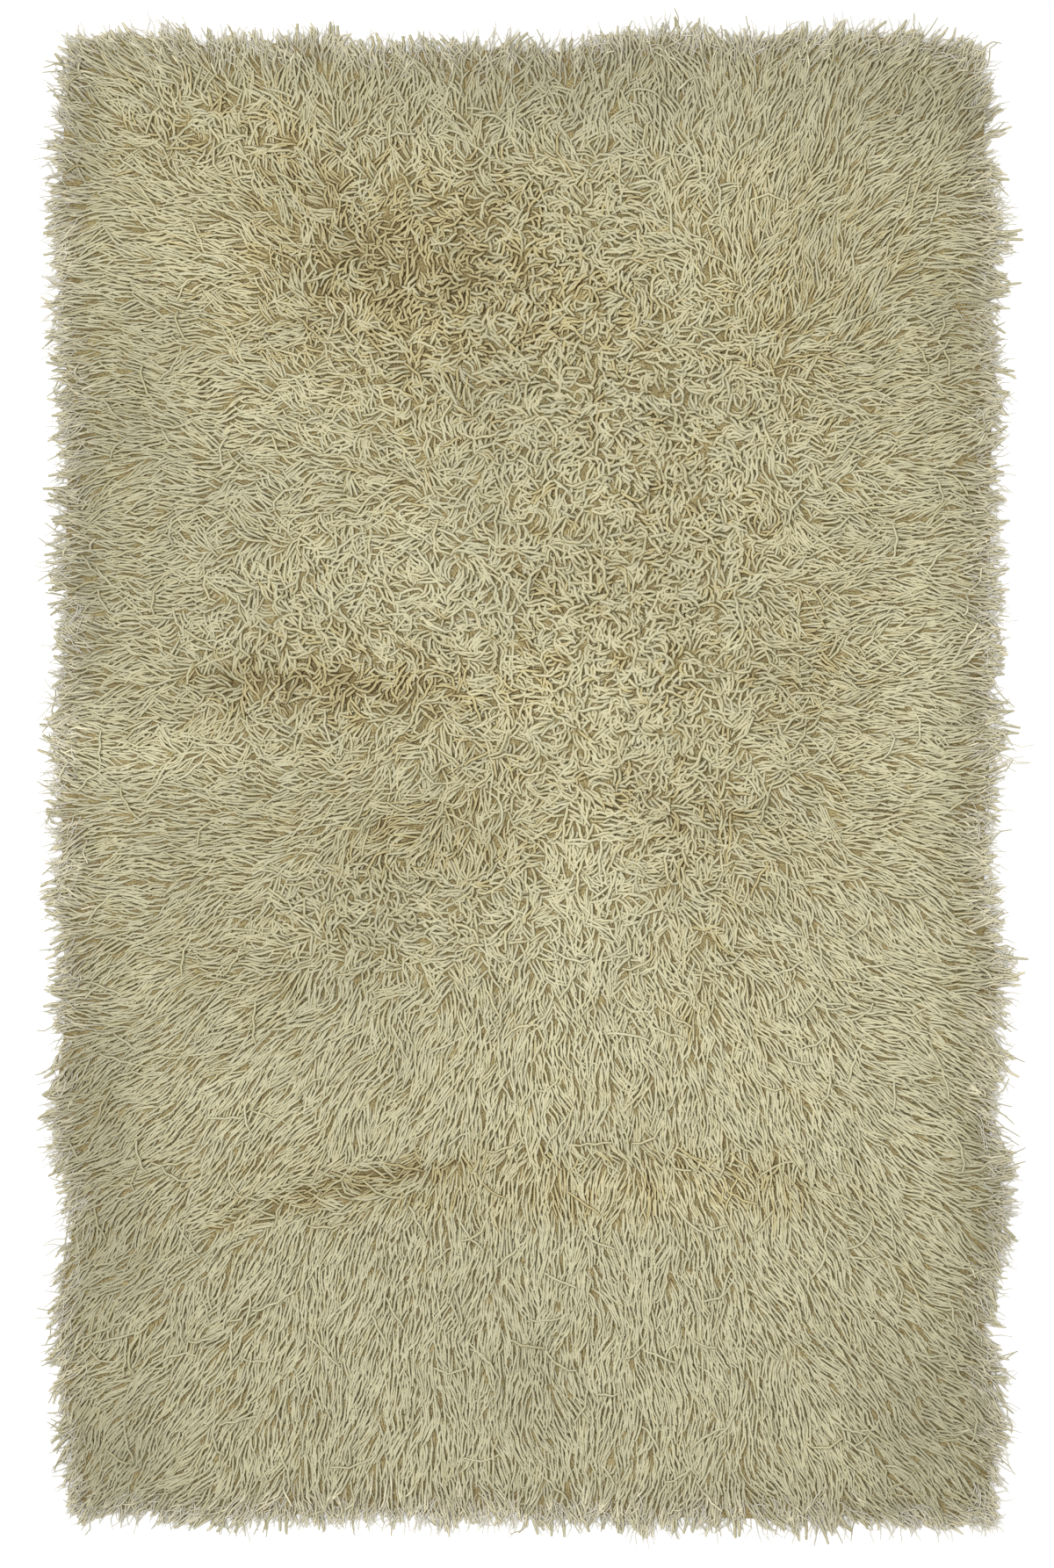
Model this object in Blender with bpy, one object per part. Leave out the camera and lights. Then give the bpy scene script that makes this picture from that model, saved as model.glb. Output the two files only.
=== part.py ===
"""A long-pile shag rug of wool yarn, lying flat on a floor.

The rug is one woven piece: its pile is knotted into the ground cloth on the loom and is never taken apart from it.
So it is one closed solid: a lumpy slab of pile, highest over the middle and falling to a thin rim, with the
locks that lie out on the floor all round it fused to the slab at their roots.

Metres, +Z up. +X runs across the rug and +Y along it. The origin is at the centre of the box, on the floor.
"""

import math
import random
from collections import namedtuple

import bmesh
import bpy
from mathutils import Vector, noise

# The pile without its locks, from rim to rim
PILE_WIDTH = 1.500
PILE_LENGTH = 2.398
CORNER_TUCK = 0.006  # how far the rim draws in at each corner
CORNER_SHARPNESS = 30  # a higher power keeps the tuck nearer to the corner

# Heights above the floor
PILE_HEIGHT = 0.040  # over the combed field
RIM_HEIGHT = 0.015  # where the locks leave the pile
LEAST_HEIGHT = 0.012
SHOULDER = 0.110  # how far in from the rim the pile reaches its full height

# The cells that the top is made of, each about 41 mm square, and how unevenly they lie
CELLS_ACROSS = 36
CELLS_ALONG = 58
CELL_STRAY = 0.014
STRAY_PITCH = 0.060

# Lumps of the pile: clumps a hand's width across, and the tufts on them
CLUMP_PITCH = 0.190
CLUMP_RELIEF = 0.010
TUFT_PITCH = 0.090
TUFT_RELIEF = 0.008

# Locks at the rim, one to each cell of it, narrowing in steps from root to tip
LOCK_REACH = 0.030
LOCK_REACH_SPREAD = 0.011  # a lock is up to this much longer or shorter
LOCK_SWAY = 0.006  # and its tip curls up to this far to one side
LockStep = namedtuple("LockStep", "reach width height")  # shares of the lock's reach, and of its root
LOCK_ROOT = LockStep(0.0, 1.0, 1.0)
LOCK_STEPS = (
    LockStep(0.5, 0.80, 0.66),
    LockStep(1.0, 0.28, 0.24),
)
SEED = 11

YARN_COLOUR = (0.467, 0.418, 0.262)
YARN_ROUGHNESS = 0.95
SHARP_ANGLE = math.radians(60)

# Places along each side, how far the rim draws in there from a straight line, and how many degrees its locks lean
# along the side, towards +X or +Y
Rim = namedtuple("Rim", "along draw_in lean")
HEAD_RIM = (
    Rim(-0.74, -0.006, -34),
    Rim(-0.64, -0.010, -26),
    Rim(-0.53, -0.004, -17),
    Rim(-0.45, 0.014, -12),
    Rim(-0.36, -0.002, -6),
    Rim(-0.25, 0.020, -3),
    Rim(-0.16, 0.016, 0),
    Rim(-0.08, 0.008, 0),
    Rim(0.03, 0.022, 0),
    Rim(0.20, -0.004, 4),
    Rim(0.35, 0.002, 8),
    Rim(0.50, -0.004, 16),
    Rim(0.57, -0.014, 22),
    Rim(0.66, -0.014, 28),
    Rim(0.74, 0.016, 34),
)
FOOT_RIM = (
    Rim(-0.74, 0.004, -36),
    Rim(-0.68, 0.004, -31),
    Rim(-0.63, 0.004, -27),
    Rim(-0.54, -0.008, -19),
    Rim(-0.47, 0.010, -14),
    Rim(-0.37, 0.000, -7),
    Rim(-0.28, 0.010, -4),
    Rim(-0.20, -0.003, -2),
    Rim(-0.10, 0.010, 0),
    Rim(0.05, 0.003, 0),
    Rim(0.17, -0.004, 3),
    Rim(0.30, 0.004, 8),
    Rim(0.39, -0.008, 13),
    Rim(0.46, 0.000, 18),
    Rim(0.56, -0.012, 24),
    Rim(0.66, -0.014, 30),
    Rim(0.74, -0.018, 34),
)
LEFT_RIM = (
    Rim(-1.16, 0.012, -38),
    Rim(-1.06, -0.006, -37),
    Rim(-0.98, 0.008, -35),
    Rim(-0.88, -0.014, -34),
    Rim(-0.76, 0.012, -31),
    Rim(-0.66, 0.012, -28),
    Rim(-0.57, -0.014, -24),
    Rim(-0.41, 0.006, -16),
    Rim(-0.31, 0.010, -12),
    Rim(-0.21, -0.010, -8),
    Rim(-0.10, -0.002, -4),
    Rim(0.02, -0.012, 0),
    Rim(0.13, 0.006, 0),
    Rim(0.38, 0.008, 0),
    Rim(0.60, 0.006, 2),
    Rim(0.70, -0.006, 3),
    Rim(0.80, -0.006, 5),
    Rim(0.95, -0.004, 12),
    Rim(1.05, -0.010, 18),
    Rim(1.16, 0.008, 32),
)
RIGHT_RIM = (
    Rim(-1.16, -0.006, -36),
    Rim(-1.00, -0.012, -32),
    Rim(-0.91, 0.010, -30),
    Rim(-0.80, 0.000, -28),
    Rim(-0.70, -0.030, -25),
    Rim(-0.61, -0.016, -21),
    Rim(-0.53, 0.022, -18),
    Rim(-0.46, -0.008, -16),
    Rim(-0.39, 0.008, -14),
    Rim(-0.31, -0.022, -11),
    Rim(-0.17, 0.012, -8),
    Rim(-0.08, 0.010, -5),
    Rim(0.06, 0.002, 0),
    Rim(0.20, -0.005, 0),
    Rim(0.31, 0.002, 0),
    Rim(0.40, -0.010, 0),
    Rim(0.48, 0.008, 1),
    Rim(0.56, -0.006, 2),
    Rim(0.65, 0.000, 2),
    Rim(0.80, 0.006, 5),
    Rim(0.88, -0.012, 7),
    Rim(1.00, 0.000, 14),
    Rim(1.07, 0.022, 20),
    Rim(1.12, -0.004, 27),
    Rim(1.16, 0.018, 32),
)
RIMS = {"head": HEAD_RIM, "foot": FOOT_RIM, "left": LEFT_RIM, "right": RIGHT_RIM}

# Where the rug was once folded, the pile parts and lies lower. A fold runs from start to end and bows sideways.
Fold = namedtuple("Fold", "name start end bow half_width depth")
FOLDS = (
    Fold("foot fold", (-0.600, -0.755), (0.600, -0.660), 0.100, 0.036, 0.013),
    Fold("middle fold", (-0.640, 0.100), (0.700, 0.080), 0.065, 0.045, 0.006),
    Fold("long fold", (0.000, 0.620), (0.000, -0.420), 0.000, 0.036, 0.007),
)
FOLD_FADE = 0.15  # the share of a fold's length over which it sinks in from either end

# Places where the pile is trodden or brushed apart. A bank stands proud, so its depth is below nought.
Hollow = namedtuple("Hollow", "name x y half_x half_y depth")
HOLLOWS = (
    Hollow("left head hollow", -0.290, 0.825, 0.085, 0.075, 0.013),
    Hollow("middle head hollow", -0.085, 0.830, 0.075, 0.075, 0.014),
    Hollow("left arm streak", -0.360, 0.150, 0.200, 0.038, 0.010),
    Hollow("right arm streak", 0.370, 0.140, 0.150, 0.042, 0.007),
    Hollow("head corner parting", 0.470, 0.830, 0.070, 0.090, 0.009),
    Hollow("foot corner hollow", 0.560, -1.000, 0.090, 0.080, 0.007),
    Hollow("left field bank", -0.300, 0.450, 0.160, 0.150, -0.005),
    Hollow("middle bank", 0.150, 0.500, 0.180, 0.220, -0.004),
    Hollow("foot bank", 0.020, -0.300, 0.240, 0.200, -0.005),
)

# The longest locks, by their place along a side and how much further than the rest they reach
LongLock = namedtuple("LongLock", "side along extra")
LONG_LOCKS = (
    LongLock("right", 0.790, 0.016),
    LongLock("right", 0.136, 0.010),
    LongLock("right", 0.090, 0.014),
    LongLock("right", 0.045, 0.034),
    LongLock("right", -0.310, 0.010),
    LongLock("right", -0.455, 0.014),
    LongLock("right", -0.580, 0.016),
    LongLock("right", -0.630, 0.016),
    LongLock("right", -0.720, 0.004),
    LongLock("right", -0.930, 0.014),
    LongLock("right", -1.030, 0.010),
    LongLock("head", 0.492, 0.020),
    LongLock("head", 0.276, 0.016),
    LongLock("head", -0.640, 0.008),
    LongLock("foot", -0.530, 0.006),
    LongLock("foot", 0.450, 0.014),
    LongLock("foot", 0.680, 0.006),
    LongLock("left", -0.210, 0.006),
    LongLock("left", -0.580, 0.006),
)
LONG_LOCK_SPAN = 0.020  # a long lock is the one this near its place


def clear_scene():
    for obj in list(bpy.data.objects):
        bpy.data.objects.remove(obj)


def eased(share):
    """Nought to one with level ends."""
    share = min(1.0, max(0.0, share))
    return share * share * (3 - 2 * share)


def rim_at(rim, along):
    """How the rim lies at a place along one side, eased between the places of its table."""
    if along <= rim[0].along:
        return rim[0]
    for a, b in zip(rim, rim[1:]):
        if along <= b.along:
            share = eased((along - a.along) / (b.along - a.along))
            return Rim(*(start + (end - start) * share for start, end in zip(a, b)))
    return rim[-1]


def lump(x, y, pitch, relief):
    """Uneven lumps of one size, about this far apart and at most this high or deep."""
    return relief * noise.noise(Vector((x, y, SEED)) / pitch)


def plan_place(u, v):
    """Where a cell corner lies in plan. u and v run from -1 to 1, across and along the rug."""
    half_width, half_length = PILE_WIDTH / 2, PILE_LENGTH / 2
    x, y = u * half_width, v * half_length
    left = -half_width + rim_at(LEFT_RIM, y).draw_in
    right = half_width - rim_at(RIGHT_RIM, y).draw_in
    foot = -half_length + rim_at(FOOT_RIM, x).draw_in
    head = half_length - rim_at(HEAD_RIM, x).draw_in
    x = left + (right - left) * (u + 1) / 2
    y = foot + (head - foot) * (v + 1) / 2
    x -= CORNER_TUCK * u * abs(v) ** CORNER_SHARPNESS
    y -= CORNER_TUCK * v * abs(u) ** CORNER_SHARPNESS
    return x + lump(x, y, STRAY_PITCH, CELL_STRAY), y + lump(y, x, STRAY_PITCH, CELL_STRAY)


def fold_depth(fold, x, y):
    """How much lower the pile lies at this place because of one fold."""
    start, end, place = Vector(fold.start), Vector(fold.end), Vector((x, y))
    line = end - start
    share = min(1.0, max(0.0, (place - start).dot(line) / line.length_squared))
    side = Vector((-line.y, line.x)).normalized()
    nearest = start + line * share + side * fold.bow * math.sin(math.pi * share)
    away = (place - nearest).length / fold.half_width
    return fold.depth * eased(min(share, 1 - share) / FOLD_FADE) * math.exp(-away * away)


def hollow_depth(hollow, x, y):
    """How much lower the pile lies at this place because of one hollow."""
    across, along = (x - hollow.x) / hollow.half_x, (y - hollow.y) / hollow.half_y
    return hollow.depth * math.exp(-across * across - along * along)


def pile_height(u, v, x, y):
    """The height of the pile's top at a cell corner."""
    from_rim = min((1 - abs(u)) * PILE_WIDTH, (1 - abs(v)) * PILE_LENGTH) / 2
    tufts = lump(x, y, TUFT_PITCH, TUFT_RELIEF)
    rim = RIM_HEIGHT + tufts / 2
    field = PILE_HEIGHT + tufts + lump(x, y, CLUMP_PITCH, CLUMP_RELIEF)
    field -= sum(fold_depth(fold, x, y) for fold in FOLDS)
    field -= sum(hollow_depth(hollow, x, y) for hollow in HOLLOWS)
    return max(LEAST_HEIGHT, rim + (field - rim) * eased(from_rim / SHOULDER))


def lay_slab(bm):
    """The slab of pile, closed by walls at its rim and a flat underside. Returns the walls, one to each rim cell."""
    bmesh.ops.create_grid(bm, x_segments=CELLS_ACROSS, y_segments=CELLS_ALONG, size=1.0)
    for vert in bm.verts:
        u, v = vert.co.x, vert.co.y
        x, y = plan_place(u, v)
        vert.co = (x, y, pile_height(u, v, x, y))
    rim = [edge for edge in bm.edges if edge.is_boundary]
    made = bmesh.ops.extrude_edge_only(bm, edges=rim)["geom"]
    walls = [item for item in made if isinstance(item, bmesh.types.BMFace)]
    for vert in (item for item in made if isinstance(item, bmesh.types.BMVert)):
        vert.co.z = 0.0
    foot = [edge for edge in bm.edges if edge.is_boundary]
    bmesh.ops.holes_fill(bm, edges=foot, sides=len(foot))
    bmesh.ops.recalc_face_normals(bm, faces=bm.faces)
    return walls


def rim_place(middle, out):
    """Which side of the rug a rim wall is on, and its place along that side."""
    if abs(out.x) > abs(out.y):
        return ("right" if out.x > 0 else "left"), middle.y
    return ("head" if out.y > 0 else "foot"), middle.x


def lock_lean(side, along):
    """The angle that the locks lean along the rim here, turned so that it is counted anticlockwise from above."""
    turn = 1 if side in ("right", "foot") else -1
    return math.radians(rim_at(RIMS[side], along).lean * turn)


def extra_reach(side, along):
    """How much further than the rest the lock at this place reaches."""
    near = [lock.extra for lock in LONG_LOCKS if lock.side == side and abs(lock.along - along) < LONG_LOCK_SPAN]
    return max(near, default=0.0)


def draw_locks(bm, walls):
    """Draws a lock out of each wall: a curved, narrowing wedge of four sides that rests on the floor."""
    chance = random.Random(SEED)
    for wall in sorted(walls, key=lambda wall: math.atan2(*wall.calc_center_median().yx)):
        middle = wall.calc_center_median()
        out = Vector((wall.normal.x, wall.normal.y, 0.0)).normalized()
        side = Vector((-out.y, out.x, 0.0))
        place = rim_place(middle, out)
        lean = lock_lean(*place)
        way = out * math.cos(lean) + side * math.sin(lean)
        reach = LOCK_REACH + chance.uniform(-LOCK_REACH_SPREAD, LOCK_REACH_SPREAD) + extra_reach(*place)
        sway = chance.uniform(-LOCK_SWAY, LOCK_SWAY)
        face, before, centre = wall, LOCK_ROOT, middle
        for step in LOCK_STEPS:
            face = bmesh.ops.extrude_discrete_faces(bm, faces=[face])["faces"][0]
            goal = middle + way * reach * step.reach + side * sway * step.reach**2
            for vert in face.verts:
                aside = (vert.co - centre).dot(side) * step.width / before.width
                height = vert.co.z * step.height / before.height
                vert.co = Vector((goal.x, goal.y, height)) + side * aside
            before, centre = step, goal


def centre_on_floor(bm):
    """Puts the middle of the rug's box over the origin."""
    xs = [vert.co.x for vert in bm.verts]
    ys = [vert.co.y for vert in bm.verts]
    middle = Vector((min(xs) + max(xs), min(ys) + max(ys), 0.0)) / 2
    bmesh.ops.translate(bm, verts=bm.verts, vec=-middle)


def wool_material():
    material = bpy.data.materials.new("wool_yarn")
    material.use_nodes = True
    shader = material.node_tree.nodes["Principled BSDF"]
    shader.inputs["Base Color"].default_value = (*YARN_COLOUR, 1.0)
    shader.inputs["Roughness"].default_value = YARN_ROUGHNESS
    shader.inputs["Metallic"].default_value = 0.0
    return material


def make_shag_rug():
    bm = bmesh.new()
    draw_locks(bm, lay_slab(bm))
    centre_on_floor(bm)
    bmesh.ops.recalc_face_normals(bm, faces=bm.faces)
    mesh = bpy.data.meshes.new("shag_rug")
    bm.to_mesh(mesh)
    bm.free()
    mesh.shade_smooth()
    mesh.set_sharp_from_angle(angle=SHARP_ANGLE)
    mesh.materials.append(wool_material())
    rug = bpy.data.objects.new("shag_rug", mesh)
    bpy.context.scene.collection.objects.link(rug)


clear_scene()
make_shag_rug()
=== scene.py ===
"""A long-pile shag rug of wool yarn, lying flat on a pale floor and seen from straight above.

Metres, +Z up. +X runs across the rug and +Y along it. The rug lies on the floor at z = 0.
"""

import math
from collections import namedtuple

import bmesh
import bpy
import numpy as np
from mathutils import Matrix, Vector, noise
from mathutils.bvhtree import BVHTree


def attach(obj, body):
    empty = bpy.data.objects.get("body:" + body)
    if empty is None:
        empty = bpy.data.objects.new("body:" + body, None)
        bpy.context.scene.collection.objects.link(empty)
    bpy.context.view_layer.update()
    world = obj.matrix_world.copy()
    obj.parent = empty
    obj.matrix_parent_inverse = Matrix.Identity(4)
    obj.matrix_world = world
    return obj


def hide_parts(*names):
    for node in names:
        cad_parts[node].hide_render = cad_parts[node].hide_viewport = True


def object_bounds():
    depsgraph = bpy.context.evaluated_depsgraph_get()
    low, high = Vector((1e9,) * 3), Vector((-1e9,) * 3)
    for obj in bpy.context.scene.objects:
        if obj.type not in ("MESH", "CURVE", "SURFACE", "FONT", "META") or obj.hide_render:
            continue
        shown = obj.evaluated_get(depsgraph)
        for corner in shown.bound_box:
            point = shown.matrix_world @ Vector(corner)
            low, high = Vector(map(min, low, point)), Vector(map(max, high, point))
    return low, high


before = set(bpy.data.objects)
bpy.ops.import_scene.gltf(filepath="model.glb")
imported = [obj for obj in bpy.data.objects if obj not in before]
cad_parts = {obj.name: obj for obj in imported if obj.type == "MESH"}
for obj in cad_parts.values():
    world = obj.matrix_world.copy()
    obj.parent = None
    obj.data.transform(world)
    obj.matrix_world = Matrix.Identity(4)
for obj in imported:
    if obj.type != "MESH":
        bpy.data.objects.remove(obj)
solid_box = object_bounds()


# ---- Camera: a studio camera hung over the rug, looking straight down, its long side along the rug ----

LENS_MM = 85
SENSOR_MM = 36
VIEW_CENTRE = (-0.0139, -0.0070)
VIEW_LENGTH = 2.553  # of floor, along the picture's long side
PILE_LEVEL = 0.030  # the height at which the view is that long

camera_data = bpy.data.cameras.new("overhead_camera")
camera_data.lens = LENS_MM
camera_data.sensor_width = SENSOR_MM
camera = bpy.data.objects.new("overhead_camera", camera_data)
camera.location = (*VIEW_CENTRE, PILE_LEVEL + VIEW_LENGTH * LENS_MM / SENSOR_MM)
bpy.context.scene.collection.objects.link(camera)
bpy.context.scene.camera = camera
bpy.context.scene.view_settings.view_transform = "Standard"


# ---- Studio: a matt white floor under an even white dome, with one large soft lamp over the left side ----

FLOOR_SIZE = 16.0
FLOOR_COLOUR = (0.93, 0.93, 0.925)
FLOOR_WEAR = 0.01  # how much darker the floor is where it is most worn
DOME_STRENGTH = 0.81
LAMP_PLACE = (-1.7, 0.5, 6.2)
LAMP_SIZE = 3.4
LAMP_POWER = 290.0


class Wire:
    """What a node gives. A sum written with wires adds the nodes that work it out."""

    def __init__(self, socket):
        self.socket = socket
        self.tree = socket.id_data

    def __add__(self, other):
        return maths("ADD", self, other)

    def __sub__(self, other):
        return maths("SUBTRACT", self, other)

    def __rsub__(self, other):
        return maths("SUBTRACT", other, self)

    def __mul__(self, other):
        return maths("MULTIPLY", self, other)

    def __truediv__(self, other):
        return maths("DIVIDE", self, other)

    def __lt__(self, other):
        return maths("LESS_THAN", self, other)

    def __gt__(self, other):
        return maths("GREATER_THAN", self, other)


def feed(socket, value):
    """Leads a wire to the socket, or sets a plain value on it."""
    if isinstance(value, Wire):
        value.tree.links.new(value.socket, socket)
    else:
        socket.default_value = value


def node(tree, kind, inputs=None, **settings):
    """Adds a node. Its inputs are named by socket identifier, and each is given a wire or a plain value."""
    made = tree.nodes.new(kind)
    for name, value in settings.items():
        setattr(made, name, value)
    for key, value in (inputs or {}).items():
        feed(next(socket for socket in made.inputs if socket.identifier == key), value)
    return made


def wire(tree, kind, output, inputs=None, **settings):
    """Adds a node, and gives the wire from one of its outputs."""
    return Wire(node(tree, kind, inputs, **settings).outputs[output])


def maths(operation, *values):
    """One step of arithmetic with at least one wire in it."""
    tree = next(value.tree for value in values if isinstance(value, Wire))
    made = node(tree, "ShaderNodeMath", operation=operation)
    for socket, value in zip(made.inputs, values):
        feed(socket, value)
    return Wire(made.outputs[0])


def scaled(vector, factor):
    """A vector or a colour times a number."""
    inputs = {"Vector": vector, "Scale": factor}
    return wire(factor.tree, "ShaderNodeVectorMath", 0, inputs, operation="SCALE")


def mottle(place, scale, detail, roughness=0.5):
    """A noise that runs from nought to one."""
    inputs = {"Vector": place, "Scale": scale, "Detail": detail, "Roughness": roughness}
    return wire(place.tree, "ShaderNodeTexNoise", "Fac", inputs)


def new_material(name):
    """A material, with its node tree and the inputs of its shader."""
    material = bpy.data.materials.new(name)
    material.use_nodes = True
    tree = material.node_tree
    return material, tree, tree.nodes["Principled BSDF"].inputs


def plain_object(name, mesh, material):
    """A finished piece: its place is in its mesh, and its object sits at the origin."""
    mesh.materials.clear()
    mesh.materials.append(material)
    made = bpy.data.objects.new(name, mesh)
    bpy.context.scene.collection.objects.link(made)
    return made


def floor_material():
    """White paint, a little worn in patches."""
    material, tree, shader = new_material("matt_white_floor")
    place = wire(tree, "ShaderNodeTexCoord", "Object")
    worn = mottle(place, scale=3.0, detail=4.0)
    feed(shader["Base Color"], scaled(FLOOR_COLOUR, 1.0 - worn * FLOOR_WEAR))
    feed(shader["Roughness"], 0.9)
    return material


floor_mesh = bpy.data.meshes.new("floor")
floor_form = bmesh.new()
bmesh.ops.create_grid(floor_form, x_segments=4, y_segments=4, size=FLOOR_SIZE / 2)
floor_form.to_mesh(floor_mesh)
floor_form.free()
floor = plain_object("floor", floor_mesh, floor_material())

dome = bpy.data.worlds.new("white_dome")
dome.use_nodes = True
dome_light = dome.node_tree.nodes["Background"].inputs
dome_light["Color"].default_value = (1.0, 1.0, 1.0, 1.0)
dome_light["Strength"].default_value = DOME_STRENGTH
bpy.context.scene.world = dome

lamp_data = bpy.data.lights.new("soft_lamp", "AREA")
lamp_data.size = LAMP_SIZE
lamp_data.energy = LAMP_POWER
lamp = bpy.data.objects.new("soft_lamp", lamp_data)
lamp.location = LAMP_PLACE
lamp.rotation_euler = (-Vector(LAMP_PLACE)).to_track_quat("-Z", "Y").to_euler()
lamp.visible_camera = False
bpy.context.scene.collection.objects.link(lamp)


# ---- Ground cloth: the woven wool backing that the pile is knotted into, lying flat on the floor ----
# It is one plain-woven cloth, and the knots show on its underside as close rows across the rug. Its edge is
# a little inside the pile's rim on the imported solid, so that the pile hides it from above.

CLOTH_THICKNESS = 0.0026
CLOTH_LIFT = 0.0004  # the fuzz of its underside holds it this far off the floor
CLOTH_CELL = 0.040
EDGE_PROBE_HEIGHT = 0.012  # the height at which the solid's rim is felt for
EDGE_PROBE_FROM = 2.0  # well outside the rug
EDGE_PROBE_STEP = 0.020
PROBED_ALONG = 1.14  # as far as this from the rug's middle, so that its corners don't count
PROBED_ACROSS = 0.70
EDGE_SMOOTHING = 5  # probes taken together, so that single locks don't count
EDGE_INSET = 0.014
CORNER_TUCK = 0.014
CORNER_SHARPNESS = 26
EDGE_SHARE_ACROSS = 0.90  # the outermost cells take the edge as it is at this share of the half width
EDGE_SHARE_ALONG = 0.95
SHARP_ANGLE = 50
KNOT_ROW_PITCH = 0.0085
WARP_PITCH = 0.0042
KNOT_RELIEF = 0.35
WARP_RELIEF = 0.25
FIBRE_RELIEF = 0.3
CLOTH_COLOUR = (0.50, 0.46, 0.34, 1.0)
KNOT_COLOUR = (0.63, 0.58, 0.43, 1.0)

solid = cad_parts["shag_rug"]
solid_tree = BVHTree.FromPolygons(
    [vert.co.copy() for vert in solid.data.vertices],
    [tuple(face.vertices) for face in solid.data.polygons],
)
half_width = solid_box[1].x
half_length = solid_box[1].y


def probed_edge(way, places):
    """How far out the solid's rim lies in one direction, at each of these places along the rug's side."""
    way = Vector((*way, 0.0))
    side = Vector((abs(way.y), abs(way.x), 0.0))
    found = []
    for place in places:
        start = way * EDGE_PROBE_FROM + side * place + Vector((0.0, 0.0, EDGE_PROBE_HEIGHT))
        hit = solid_tree.ray_cast(start, -way)[0]
        found.append(hit.dot(way))
    spread = EDGE_SMOOTHING // 2
    padded = np.pad(found, spread, mode="edge")
    return np.convolve(padded, np.ones(EDGE_SMOOTHING) / EDGE_SMOOTHING, mode="valid") - EDGE_INSET


along_places = np.arange(-PROBED_ALONG, PROBED_ALONG + 0.001, EDGE_PROBE_STEP)
across_places = np.arange(-PROBED_ACROSS, PROBED_ACROSS + 0.001, EDGE_PROBE_STEP)
left_edge = probed_edge((-1, 0), along_places)
right_edge = probed_edge((1, 0), along_places)
foot_edge = probed_edge((0, -1), across_places)
head_edge = probed_edge((0, 1), across_places)


def edge_at(x, y):
    """The left, right, foot and head edges of the pile beside a place, as places along X and Y."""
    left = -np.interp(y, along_places, left_edge)
    right = np.interp(y, along_places, right_edge)
    foot = -np.interp(x, across_places, foot_edge)
    head = np.interp(x, across_places, head_edge)
    return left, right, foot, head


def depth_inside(x, y):
    """How far inside the pile's edge a place is, and below nought outside it."""
    left, right, foot, head = edge_at(x, y)
    return np.minimum(np.minimum(x - left, right - x), np.minimum(y - foot, head - y))


def fitted_plan(u, v, inset):
    """Where the corner of a cell lies in plan. u and v run from -1 to 1, across and along the rug."""
    left, right, foot, head = edge_at(u * half_width * EDGE_SHARE_ACROSS, v * half_length * EDGE_SHARE_ALONG)
    x = left + inset + (right - left - 2 * inset) * (u + 1) / 2
    y = foot + inset + (head - foot - 2 * inset) * (v + 1) / 2
    tuck_x = CORNER_TUCK * u * abs(v) ** CORNER_SHARPNESS
    tuck_y = CORNER_TUCK * v * abs(u) ** CORNER_SHARPNESS
    return x - tuck_x, y - tuck_y


def fitted_slab(name, cell, inset, top_at, bottom):
    """A closed slab with the rug's outline: its top follows top_at(x, y), and its underside is level."""
    form = bmesh.new()
    segments = [round(2 * side / cell) for side in (half_width, half_length)]
    bmesh.ops.create_grid(form, x_segments=segments[0], y_segments=segments[1], size=1.0)
    for vert in form.verts:
        x, y = fitted_plan(vert.co.x, vert.co.y, inset)
        vert.co = (x, y, top_at(x, y))
    rim = [edge for edge in form.edges if edge.is_boundary]
    wall = bmesh.ops.extrude_edge_only(form, edges=rim)["geom"]
    for vert in (item for item in wall if isinstance(item, bmesh.types.BMVert)):
        vert.co.z = bottom
    foot = [edge for edge in form.edges if edge.is_boundary]
    bmesh.ops.holes_fill(form, edges=foot, sides=len(foot))
    bmesh.ops.recalc_face_normals(form, faces=form.faces)
    mesh = bpy.data.meshes.new(name)
    form.to_mesh(mesh)
    form.free()
    mesh.shade_smooth()
    mesh.set_sharp_from_angle(angle=math.radians(SHARP_ANGLE))
    return mesh


def mixed(share, first, second):
    """Two colours mixed by a share from nought to one."""
    made = node(share.tree, "ShaderNodeMix", data_type="RGBA")
    for place, value in ((0, share), (6, first), (7, second)):
        feed(made.inputs[place], value)
    return Wire(made.outputs[2])


def wires(made):
    """The wires from a node, by name."""
    return {socket.name: Wire(socket) for socket in made.outputs}


def parts(vector):
    """The X, Y and Z of a vector, by name."""
    return wires(node(vector.tree, "ShaderNodeSeparateXYZ", {"Vector": vector}))


def new_input(tree, title, value=None, kind=None):
    """Gives a node group an input. Its kind is that of its plain value, or is said."""
    kinds = {float: "NodeSocketFloat", int: "NodeSocketInt", str: "NodeSocketString"}
    made = tree.interface.new_socket(title, in_out="INPUT", socket_type=kind or kinds[type(value)])
    if value is not None:
        made.default_value = value


def wool_fibre_group():
    """The hairy surface of spun wool: a tone that wanders from fibre to fibre, and the fibres' height."""
    tree = bpy.data.node_groups.new("wool_fibre", "ShaderNodeTree")
    new_input(tree, "Place", kind="NodeSocketVector")
    for title, value in (("Fibre Scale", 400.0), ("Patch Scale", 40.0), ("Contrast", 0.2)):
        new_input(tree, title, value)
    for title in ("Tone", "Height"):
        tree.interface.new_socket(title, in_out="OUTPUT", socket_type="NodeSocketFloat")
    taken = wires(node(tree, "NodeGroupInput"))
    given = node(tree, "NodeGroupOutput").inputs
    fibres = mottle(taken["Place"], taken["Fibre Scale"], detail=3.0, roughness=0.65)
    patches = mottle(taken["Place"], taken["Patch Scale"], detail=2.0)
    feed(given["Tone"], (fibres + patches - 1.0) * taken["Contrast"] + 1.0)
    feed(given["Height"], fibres)
    return tree


wool_fibre = wool_fibre_group()


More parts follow.
